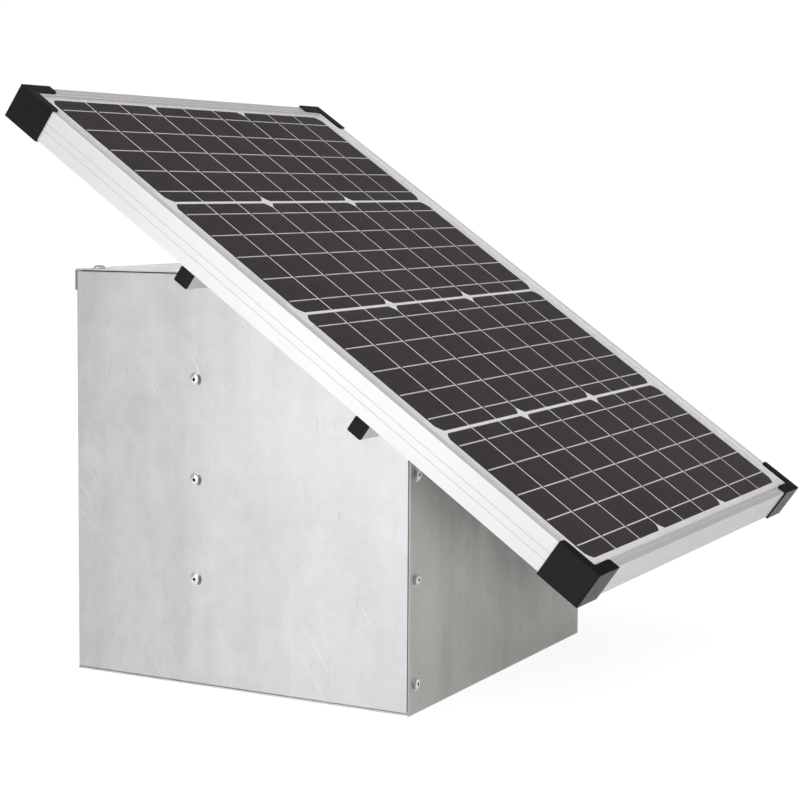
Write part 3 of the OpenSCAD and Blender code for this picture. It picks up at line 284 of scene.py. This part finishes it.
def galvanised(name, colour=(0.690, 0.697, 0.705), scratch=1.0, blotch=1.0, shade=0.0,
               panel=False):
    """Zinc-coated sheet: spangle, clouds and streaks, with handling marks."""
    mat = Mat(name)
    flat = flat_coord(mat)
    wobble = mat.noise(scale=60, out=1)
    cell = mat.voronoi(95, mat.shift(mat.co, wobble, 0.012))["Color"]
    spangle = mat.channel(cell, 0)
    spangle_blue = mat.channel(cell, 1)
    mottle = mat.noise(scale=42, detail=6, rough=0.68)
    smudge = mat.noise(detail=5, rough=0.7, co=mat.map(co=flat, scale=(34, 12, 1)))
    fine = mat.noise(scale=520, detail=3, rough=0.65)
    band_co = mat.map(co=flat, scale=(17, 1.3, 1), loc=(1.7, 0.4, 0))
    patch_co = mat.map(co=flat, scale=(15, 7, 1), loc=(4.2, 2.4, 0))
    streak_co = mat.map(co=flat, scale=(46, 2.0, 1))
    hair_co = mat.map(co=flat, scale=(240, 7, 1), loc=(3, 5, 1))

    # each layer, and how far it lightens or darkens the sheet
    tone = mat.remap(spangle, span=(0, 1), to=(-0.016, 0.016))
    for layer, amount in (
        (mat.noise(scale=6.5, detail=4, rough=0.55, distortion=0.4), 0.030),
        (mottle, 0.040),
        (smudge, 0.030),
        (mat.noise(detail=4, rough=0.62, co=streak_co), 0.024),
        (mat.noise(detail=3, co=hair_co), 0.010),
        (mat.noise(co=band_co), 0.028 * blotch),
        (mat.noise(detail=4, rough=0.62, co=patch_co, distortion=0.6), 0.034 * blotch),
    ):
        tone = mat.add(tone, mat.sway(layer, amount))
    # painted shade under the module and a painted highlight on the flat top
    if shade:
        tone = front_painted_light(mat, tone, shade)
    tone = mat.add(tone, mat.sway(fine, 0.018))

    # pale handling scratches and hairlines, then short dark scuffs and specks
    slanted, steep, upright, short, scuff, level = (
        scratches(mat, flat, kind) for kind in SCRATCHES)
    pale = mat.largest(mat.largest(slanted, steep),
                       mat.largest(mat.mul(upright, 0.7), mat.mul(short, 0.7)))
    dark = mat.largest(scuff, mat.mul(level, 0.5))
    dots = mat.voronoi(60, mat.map(loc=(0.7, 0.3, 0.1)))["Distance"]
    speck = mat.mul(mat.ramp(dots, [(0.0, 1.0), (0.05, 0.8), (0.085, 0.0)]),
                    mat.ramp(mat.noise(scale=13, detail=1), [(0.55, 0.0), (0.62, 1.0)]))
    tone = mat.mul_add(pale, 0.19 * scratch, tone)
    tone = mat.sub(tone, mat.mul(mat.largest(mat.mul(dark, scratch), speck), 0.17))
    # painted light on the side panels and painted shade in their fold
    if panel:
        tone = panel_painted_light(mat, tone)
    tone = mat.add(tone, 1.0)

    rough = mat.add(mat.remap(mottle, to=(0.34, 0.46)), mat.remap(smudge, to=(-0.04, 0.05)))
    height = mat.add(mat.mul(spangle, 0.10), mat.mul(fine, 0.22),
                     mat.mul(mat.noise(scale=9), 1.5))
    height = mat.sub(height, mat.mul(mat.largest(pale, dark), 0.35))
    return mat.finish(
        Base_Color=mat.tint(colour, tone, blue=mat.mul_add(spangle_blue, 0.010, tone)),
        Metallic=0.78,
        Roughness=mat.mul_add(pale, 0.10, rough),
        Normal=mat.bump(height, strength=0.10, distance=0.0006))


# ------------------------------------------------------------------ other metals


def anodised(name, axis="x", colour=(0.815, 0.808, 0.812), sloped=False, grooves=False):
    """Satin aluminium extrusion with die lines along one axis of the part."""
    mat = Mat(name)
    co = mat.slope() if sloped else mat.co

    def lines(along, across, detail):
        scale = tuple(along if letter == axis else across for letter in "xyz")
        return mat.noise(detail=detail, rough=0.6, co=mat.map(co=co, scale=scale))

    die = lines(along=3, across=900, detail=3)
    broad = lines(along=0.8, across=160, detail=2)
    cloud = mat.noise(scale=14, detail=3, rough=0.6)
    tone = mat.add(mat.sway(die, 0.014), mat.sway(broad, 0.010), mat.sway(cloud, 0.015))
    if grooves:
        # painted shade in the two shallow grooves of the outer face
        height = mat.sub(mat.sep(co)[2], MODULE_Z)
        for groove in GROOVE_HEIGHTS:
            away = mat.absolute(mat.sub(height, groove))
            tone = mat.sub(tone, mat.mul(mat.below(away, GROOVE_HALF), 0.30))
    return mat.finish(
        Base_Color=mat.tint(colour, mat.add(tone, 1.0)),
        Metallic=0.35,
        Roughness=mat.remap(die, to=(0.32, 0.40)),
        Normal=mat.bump(mat.add(die, mat.mul(broad, 0.6)), strength=0.05, distance=0.0002))


def metal(name, colour, rough=0.32, metallic=0.9, grain=240, bump=0.12):
    """Plain metal, brighter on its edges."""
    mat = Mat(name)
    fine = mat.noise(scale=grain, detail=4, rough=0.6)
    cloud = mat.noise(scale=30, detail=3, rough=0.6)
    tone = mat.add(mat.remap(fine, to=(0.93, 1.05)), mat.sway(cloud, 0.06),
                   mat.edges([(0.49, 0.0), (0.56, 0.12)]))
    return mat.finish(
        Base_Color=mat.tint(colour, tone),
        Metallic=metallic,
        Roughness=mat.remap(fine, to=(rough - 0.06, rough + 0.1)),
        Normal=mat.bump(fine, strength=bump, distance=0.0002))


def rivet_metal(name):
    """Bright drawn aluminium, with painted shade in the hole that the broken mandrel leaves and
    round one side of each foot.
    """
    mat = Mat(name)
    fine = mat.noise(scale=900, detail=3, rough=0.6)
    cloud = mat.noise(scale=160, detail=3, rough=0.6)
    x, y, z = mat.sep(mat.co)
    out = mat.absolute(x)

    def height_in_row(first):
        """Height above the nearest rivet centre of a row."""
        start = first - RIVET_PITCH / 2
        turn = mat.math("FRACT", mat.math("DIVIDE", mat.sub(z, start), RIVET_PITCH))
        return mat.mul(mat.sub(turn, 0.5), RIVET_PITCH)

    def hole(across, height, where):
        return mat.mul(mat.below(mat.radius(across, height), RIVET_HOLE_RADIUS), where)

    def foot(across, height, where, fade):
        """Painted shade round the foot, on the side where across is negative."""
        far = mat.radius(across, height)
        cosine = mat.math("DIVIDE", across, mat.largest(far, 0.0001))
        one_side = mat.remap(cosine, span=fade, to=(1.0, 0.0))
        return mat.mul(mat.remap(far, span=RIVET_FOOT, to=(0.0, 1.0)), one_side, where)

    side = (mat.sub(y, SIDE_RIVET_Y), height_in_row(SIDE_RIVET_Z),
            mat.above(out, SIDE_RIVET_X))
    front = (mat.sub(FRONT_RIVET_X, out), height_in_row(FRONT_RIVET_Z),
             mat.below(y, FRONT_RIVET_Y))
    # painted shade in the mandrel hole
    hole_shade = mat.largest(hole(*side), hole(*front))
    # painted crescent of shade round one side of each foot
    foot_shade = mat.largest(foot(*side, fade=(-0.85, -0.35)),
                        mat.mul(foot(*front, fade=(-0.85, -0.3)), 0.9))
    tone = mat.add(mat.remap(fine, to=(0.96, 1.03)), mat.sway(cloud, 0.04))
    for painted_shade, depth in ((hole_shade, 0.88), (foot_shade, 0.78)):
        tone = mat.mul(tone, mat.sub(1.0, mat.mul(painted_shade, depth)))
    return mat.finish(
        Base_Color=mat.tint((0.86, 0.855, 0.85), tone),
        Metallic=0.92,
        Roughness=mat.remap(fine, to=(0.17, 0.25)),
        Normal=mat.bump(fine, strength=0.05, distance=0.0002))


def laminations(name):
    """Stacked steel sheets, with dark lines between them."""
    mat = Mat(name)
    turn = mat.math("FRACT", mat.mul(mat.sep(mat.co)[1], 1400.0))
    sheets = mat.ramp(turn, [(0.0, 0.3), (0.15, 1.0), (0.85, 1.0), (1.0, 0.3)])
    cloud = mat.noise(scale=60, detail=4, rough=0.6)
    return mat.finish(
        Base_Color=mat.tint((0.16, 0.155, 0.16),
                            mat.mul(sheets, mat.remap(cloud, to=(0.85, 1.15)))),
        Metallic=0.6,
        Roughness=0.45,
        Normal=mat.bump(sheets, strength=0.3, distance=0.0002))


# ------------------------------------------------------------------ plastics and rubber


def plastic(name, colour, rough=0.3, grain=900, bump=0.08, wear=0.15, spec=0.5):
    """Moulded plastic with a little dust, paler on worn edges."""
    mat = Mat(name)
    fine = mat.noise(scale=grain, detail=3, rough=0.6)
    cloud = mat.noise(scale=22, detail=4, rough=0.6)
    dust = mat.noise(scale=75, detail=5, rough=0.65)
    base = mat.tint(colour, mat.remap(cloud, to=(0.90, 1.10)))
    pale = tuple(min(1.0, part * 1.5 + 0.05) for part in colour)
    worn = mat.mul(mat.edges([(0.50, 0.0), (0.58, 1.0)]), wear)
    height = mat.add(fine, mat.mul(mat.noise(scale=16), 1.2))
    return mat.finish(
        Base_Color=mat.mix(worn, base, pale),
        Roughness=mat.add(mat.remap(fine, to=(rough - 0.03, rough + 0.05)),
                          mat.remap(dust, span=(0.4, 0.75), to=(0.0, 0.10))),
        Specular_IOR_Level=spec,
        Normal=mat.bump(height, strength=bump, distance=0.0003))


def rubber(name, colour, rough=0.42):
    mat = Mat(name)
    fine = mat.noise(scale=700, detail=4, rough=0.65)
    cloud = mat.noise(scale=40, detail=3, rough=0.6)
    return mat.finish(
        Base_Color=mat.tint(colour, mat.remap(cloud, to=(0.85, 1.2))),
        Roughness=mat.remap(fine, to=(rough - 0.08, rough + 0.1)),
        Normal=mat.bump(fine, strength=0.2, distance=0.0003))


def backsheet(name):
    mat = Mat(name)
    cloud = mat.noise(scale=30, detail=4, rough=0.6)
    fine = mat.noise(scale=600, detail=3, rough=0.6)
    return mat.finish(
        Base_Color=mat.tint((0.94, 0.932, 0.932), mat.remap(cloud, to=(0.95, 1.02))),
        Roughness=0.6,
        Normal=mat.bump(fine, strength=0.15, distance=0.0003))


def lens(name):
    """Green translucent plastic."""
    mat = Mat(name)
    fine = mat.noise(scale=300)
    return mat.finish(
        Base_Color=mat.mix(mat.remap(fine, to=(0.0, 0.4)), (0.12, 0.75, 0.2), (0.25, 0.9, 0.35)),
        Roughness=0.15,
        Transmission_Weight=0.5,
        IOR=1.45,
        Normal=mat.bump(fine, strength=0.05, distance=0.0002))


# ------------------------------------------------------------------ cells, glass and board


def silicon(name):
    """Monocrystalline cell: near-black, with the fine printed fingers across it."""
    mat = Mat(name)
    co = mat.slope()
    x, y, _ = mat.sep(co)
    finger = mat.ramp(
        mat.math("FRACT", mat.mul(x, FINGERS_PER_METRE)),
        [(0.0, 1.0), (0.055, 1.0), (0.075, 0.0), (0.925, 0.0), (0.945, 1.0), (1.0, 1.0)])
    cloud = mat.noise(detail=3, rough=0.6, co=mat.map(co=co, scale=(5, 5, 1)))
    grain = mat.noise(scale=260, detail=3, rough=0.6)
    # each strip has a slightly different tone
    column, row = (
        mat.math("FLOOR", mat.math("DIVIDE", mat.add(place, origin), size))
        for place, origin, size in zip((x, y), CELL_ORIGIN, CELL_SIZE))
    strip = mat.node("TexWhiteNoise", Vector=mat.node("CombineXYZ", X=column, Y=row, Z=0.0))
    tone = mat.add(mat.remap(strip, span=(0, 1), to=(-0.10, 0.10)),
                   mat.remap(cloud, to=(0.85, 1.15)), mat.sway(grain, 0.06))
    base = mat.tint((0.036, 0.0275, 0.028), tone)
    return mat.finish(
        Base_Color=mat.mix(mat.mul(finger, 0.10), base, (0.45, 0.45, 0.47)),
        Roughness=0.42,
        Specular_IOR_Level=0.35,
        Normal=mat.bump(grain, strength=0.06, distance=0.0002))


def glass(name):
    """Low-iron cover glass bonded to the cells: it bends the view only at its upper face."""
    mat = Mat(name)
    wave = mat.noise(scale=900)
    lump = mat.noise(scale=11)
    bump = mat.bump(mat.add(mat.mul(wave, 0.04), mat.mul(lump, 0.5)),
                    strength=0.05, distance=0.0008)
    rough = mat.remap(mat.noise(scale=24, detail=4, rough=0.6), to=(0.055, 0.10))
    bend = mat.node("BsdfRefraction", Color=(0.99, 0.987, 0.988), Roughness=0.0, IOR=1.5)
    gloss = mat.node("BsdfGlossy", Color=(1, 1, 1), Roughness=rough, Normal=bump)
    seen = mat.mix_shader(mat.node("Fresnel", IOR=1.5), bend, gloss)
    # light on its way to the cells goes straight through
    path = mat.node("LightPath", None)
    through = mat.largest(path["Is Shadow Ray"], path["Is Diffuse Ray"])
    clear = mat.node("BsdfTransparent", Color=(0.985, 0.982, 0.983))
    top = mat.mix_shader(through, seen, clear)
    # only the upper face bends and reflects
    normal_z = mat.sep(mat.node("TexCoord", "Normal"))[2]
    back = mat.node("NewGeometry", "Backfacing")
    outward_z = mat.mul(normal_z, mat.sub(1.0, mat.mul(back, 2.0)))
    mat.surface(mat.mix_shader(mat.above(outward_z, 0.65), mat.node("BsdfTransparent"), top))
    return mat.material


def circuit_board(name):
    """Green board with paler tracks and bright pads."""
    mat = Mat(name)
    track = mat.ramp(mat.noise(co=mat.map(scale=(60, 60, 260))),
                     [(0.47, 0.0), (0.5, 1.0), (0.56, 1.0), (0.59, 0.0)])
    pad = mat.ramp(mat.voronoi(150, mat.map(loc=(0.1, 0.2, 0.3)))["Distance"],
                   [(0.0, 1.0), (0.22, 1.0), (0.26, 0.0)])
    base = mat.mix(mat.mul(track, 0.5), (0.02, 0.13, 0.055), (0.05, 0.26, 0.11))
    return mat.finish(
        Base_Color=mat.mix(mat.mul(pad, 0.75), base, (0.62, 0.62, 0.6)),
        Roughness=0.35,
        Metallic=mat.mul(pad, 0.6),
        Normal=mat.bump(mat.add(track, pad), strength=0.2, distance=0.0002))


# ------------------------------------------------------------------ materials of the pieces


def build(table):
    return {name: make(name, **look) for name, (make, look) in table.items()}


# by material slot
MATERIALS = build({
    "galvanised_sheet": (galvanised, {}),
    "zinc_fastener": (metal, dict(colour=(0.66, 0.66, 0.65), rough=0.34, metallic=0.85)),
    "rivet_metal": (rivet_metal, {}),
    "anodised_frame": (anodised, {}),
    "solar_glass": (glass, {}),
    "cell_silicon": (silicon, {}),
    "ribbon": (metal, dict(colour=(0.80, 0.79, 0.78), rough=0.5, metallic=0.25, grain=500)),
    "backsheet_white": (backsheet, {}),
    "black_plastic": (plastic, dict(colour=(0.0065, 0.006, 0.0066), rough=0.27, grain=1100,
                                    bump=0.05, wear=0.12, spec=0.12)),
    "black_rubber": (rubber, dict(colour=(0.02, 0.02, 0.02), rough=0.55)),
    "cable_jacket": (rubber, dict(colour=(0.018, 0.018, 0.019))),
    "cable_red": (rubber, dict(colour=(0.42, 0.02, 0.015))),
    "case_dark": (plastic, dict(colour=(0.035, 0.037, 0.04), rough=0.42, grain=700, bump=0.25)),
    "case_orange": (plastic, dict(colour=(0.62, 0.17, 0.025), rough=0.38, grain=700, bump=0.25)),
    "circuit_board": (circuit_board, {}),
    "core_steel": (laminations, {}),
    "capacitor_sleeve": (plastic, dict(colour=(0.02, 0.035, 0.16), rough=0.22, grain=300,
                                       bump=0.03)),
    "lens": (lens, {}),
    "brass_stud": (metal, dict(colour=(0.66, 0.49, 0.22), rough=0.28, metallic=0.95)),
    "knob_red": (plastic, dict(colour=(0.50, 0.02, 0.015), bump=0.06)),
    "knob_green": (plastic, dict(colour=(0.02, 0.16, 0.04), bump=0.06)),
    "controller_blue": (plastic, dict(colour=(0.035, 0.06, 0.11), rough=0.4, grain=600,
                                      bump=0.3)),
    "battery_black": (plastic, dict(colour=(0.025, 0.025, 0.027), rough=0.4, grain=500,
                                    bump=0.2)),
    "battery_grey": (plastic, dict(colour=(0.20, 0.21, 0.225), rough=0.42, grain=500, bump=0.2)),
    "lead": (metal, dict(colour=(0.30, 0.305, 0.32), rough=0.55, metallic=0.7, grain=120,
                         bump=0.3)),
    "plated_clamp": (metal, dict(colour=(0.60, 0.57, 0.50), rough=0.3)),
})
# for pieces that differ from their slot; the darker tints of the upper and lower rails and of
# the bars are painted shade, shaded copies of the one anodised frame
SPECIAL = build({
    "anodised_side": (anodised, dict(axis="y", colour=(0.80, 0.791, 0.794), sloped=True,
                                     grooves=True)),
    "anodised_upper_shaded": (anodised, dict(colour=(0.72, 0.70, 0.69), sloped=True)),
    "anodised_lower_shaded": (anodised, dict(colour=(0.71, 0.695, 0.68), sloped=True)),
    "anodised_bar_shaded": (anodised, dict(colour=(0.68, 0.68, 0.675), sloped=True)),
    # side panels: painted light, lighter towards the front, and painted shade in the fold
    "galvanised_panel_painted_light": (galvanised, dict(blotch=1.5, panel=True)),
    # front sheet: darker tint, partly its own colour and partly painted shade; also painted
    # shade under the module and a painted highlight on the flat top
    "galvanised_front_painted_light": (galvanised, dict(colour=(0.495, 0.492, 0.468), scratch=0.35,
                                          blotch=2.8, shade=0.42)),
})
SPECIAL_PIECES = {
    "front_top_sheet": "galvanised_front_painted_light",
    "left_side_panel": "galvanised_panel_painted_light",
    "right_side_panel": "galvanised_panel_painted_light",
    "frame_rail_left": "anodised_side",
    "frame_rail_right": "anodised_side",
    "frame_rail_upper": "anodised_upper_shaded",
    "frame_rail_lower": "anodised_lower_shaded",
    "cross_bar_upper": "anodised_bar_shaded",
    "cross_bar_lower": "anodised_bar_shaded",
}
SLOT = {part["node"]: part["material_slot"] for part in frame["record"]["subparts"]}

# bevel width in mm: the pieces that get it; pieces not listed keep sharp edges
BEVELS = {
    0.12: "front_top_sheet",
    0.2: "left_side_panel right_side_panel lock_plug",
    0.22: "frame_rail_left frame_rail_right frame_rail_upper frame_rail_lower",
    0.25: "corner_protectors",
    0.3: "door_header cross_bar_upper cross_bar_lower lock_body lock_cam case_screws "
         "hinge_frame_leaves hinge_door_leaves hinge_pins mounting_plate mounting_rails "
         "terminal_studs energizer_board",
    0.35: "base_tray bar_end_caps",
    0.4: "door_key lock_nut bar_bolts frame_bolts plate_thumb_screws",
    0.5: "rear_door battery_clamps",
    0.6: "controller_button battery_posts pulse_transformer door_seal",
    0.7: "controller_case",
    0.8: "junction_box junction_box_lid switch_knob fence_knob earth_knob storage_capacitors",
    1.0: "energizer_back_shell",
    1.2: "energizer_cover battery_case",
    1.5: "battery_lid",
}
BEVEL_OF = {piece: width for width, pieces in BEVELS.items() for piece in pieces.split()}


def soften_edges(piece, width):
    """Weld the CAD faces together, then round the sharp edges."""
    weld = piece.modifiers.new("weld", "WELD")
    weld.merge_threshold = 0.00001
    bevel = piece.modifiers.new("edges", "BEVEL")
    bevel.width = width / 1000
    bevel.segments = 3
    bevel.limit_method = "ANGLE"
    bevel.angle_limit = math.radians(38)
    bevel.harden_normals = True
    bevel.use_clamp_overlap = True
    bevel.miter_outer = "MITER_ARC"


for name, piece in NODES.items():
    special = SPECIAL_PIECES.get(name)
    piece.data.materials.clear()
    piece.data.materials.append(SPECIAL[special] if special else MATERIALS[SLOT[name]])
    if name in BEVEL_OF:
        soften_edges(piece, BEVEL_OF[name])

# ------------------------------------------------------------------ studio

scene = bpy.context.scene
scene.view_settings.view_transform = "Standard"
scene.view_settings.look = "None"
scene.view_settings.exposure = 0.0

FLOOR_HALF = 30
GLOW_CENTRE = (-0.45, -0.40)
GLOW_RADII = (0.30, 0.95)  # full inside the first, gone beyond the second


def floor_material():
    mat = Mat("studio_floor")
    plain = mat.node("BsdfDiffuse", Color=(0.86, 0.86, 0.86))
    bright = mat.node("Emission", Color=(1, 1, 1), Strength=1.22)
    camera_ray = mat.node("LightPath", "Is Camera Ray")
    # seen by the camera it is paler, which keeps the contact shadow soft;
    # a patch in front of the box throws a little more light up onto it
    x, y, _ = mat.sep(mat.co)
    far = mat.radius(mat.add(x, -GLOW_CENTRE[0]), mat.add(y, -GLOW_CENTRE[1]))
    glow = mat.remap(far, span=GLOW_RADII, to=(0.34, 0.0))
    factor = mat.add(mat.mul(camera_ray, 0.7), mat.mul(mat.sub(1.0, camera_ray), glow))
    mat.surface(mat.mix_shader(factor, plain, bright))
    return mat.material


def make_floor():
    corners = [(x * FLOOR_HALF, y * FLOOR_HALF, 0)
               for x, y in ((-1, -1), (1, -1), (1, 1), (-1, 1))]
    mesh = bpy.data.meshes.new("studio_floor")
    mesh.from_pydata(corners, [], [(0, 1, 2, 3)])
    floor = bpy.data.objects.new("studio_floor", mesh)
    scene.collection.objects.link(floor)
    mesh.materials.append(floor_material())


def make_world():
    """Soft surround of four broad lights over a dim base; the camera sees it as white."""
    world = bpy.data.worlds.new("studio")
    scene.world = world
    sky = Shader(world, "OutputWorld")
    incoming = sky.node("NewGeometry", "Incoming")

    def lobe(towards, span, strength):
        """Light from one direction; span is the cosine where it starts and is full."""
        cosine = sky.node("VectorMath", "Value", {"operation": "DOT_PRODUCT"},
                          i0=incoming, i1=-Vector(towards).normalized())
        return sky.remap(cosine, span=span, to=(0.0, strength), smooth=True)

    key = lobe(towards=(-0.62, 0.76, 0.15), span=(0.30, 0.90), strength=0.36)
    high = lobe(towards=(-0.42, -0.42, 0.80), span=(0.45, 1.0), strength=1.72)
    side = lobe(towards=(0.75, -0.66, 0.05), span=(0.80, 0.98), strength=0.9)
    back = lobe(towards=(0.72, 0.69, 0.02), span=(0.80, 0.97), strength=1.6)
    base_level = 0.085
    level = sky.add(sky.add(key, high), sky.add(back, side, base_level))
    camera_level = 1.02
    strength = sky.node("Mix", props={"data_type": "FLOAT"},
                        i0=sky.node("LightPath", "Is Camera Ray"), i2=level, i3=camera_level)
    sky.surface(sky.node("Background", Color=(1, 1, 1), Strength=strength))


def make_key_light():
    """Small square light on the -X side, aimed at the side panel."""
    place = Vector((-1.10, 0.20, 0.36))
    target = Vector((-0.19, -0.10, 0.20))
    light = bpy.data.lights.new("key_left", "AREA")
    light.shape = "RECTANGLE"
    light.size = light.size_y = 0.6
    light.energy = 1.55
    lamp = bpy.data.objects.new("key_left", light)
    scene.collection.objects.link(lamp)
    lamp.location = place
    lamp.rotation_euler = (target - place).to_track_quat("-Z", "Y").to_euler()


def make_camera():
    """Long lens to the -X, -Y side; yaw is from +X, pitch is downwards."""
    place = (-1.6877, -0.9317, 0.4478)
    yaw, pitch, roll = (math.radians(angle) for angle in (29.555, 4.721, 0.207))
    forward = Vector((math.cos(yaw) * math.cos(pitch), math.sin(yaw) * math.cos(pitch),
                      -math.sin(pitch)))
    level = Vector((math.sin(yaw), -math.cos(yaw), 0))
    upright = level.cross(forward)
    right = level * math.cos(roll) + upright * math.sin(roll)
    up = upright * math.cos(roll) - level * math.sin(roll)

    lens_data = bpy.data.cameras.new("camera")
    lens_data.sensor_width = 36
    lens_data.lens = 90.0765
    lens_data.shift_x = 0.104125
    lens_data.shift_y = -0.055875
    lens_data.clip_start = 0.05
    lens_data.clip_end = 200
    camera = bpy.data.objects.new("camera", lens_data)
    scene.collection.objects.link(camera)
    turn = Matrix((right, up, -forward)).transposed().to_4x4()
    camera.matrix_world = Matrix.Translation(place) @ turn
    scene.camera = camera


make_floor()
make_world()
make_key_light()
make_camera()

# ------------------------------------------------------------------ sizes

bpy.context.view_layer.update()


def plain(box):
    return [[float(value) for value in corner] for corner in box]
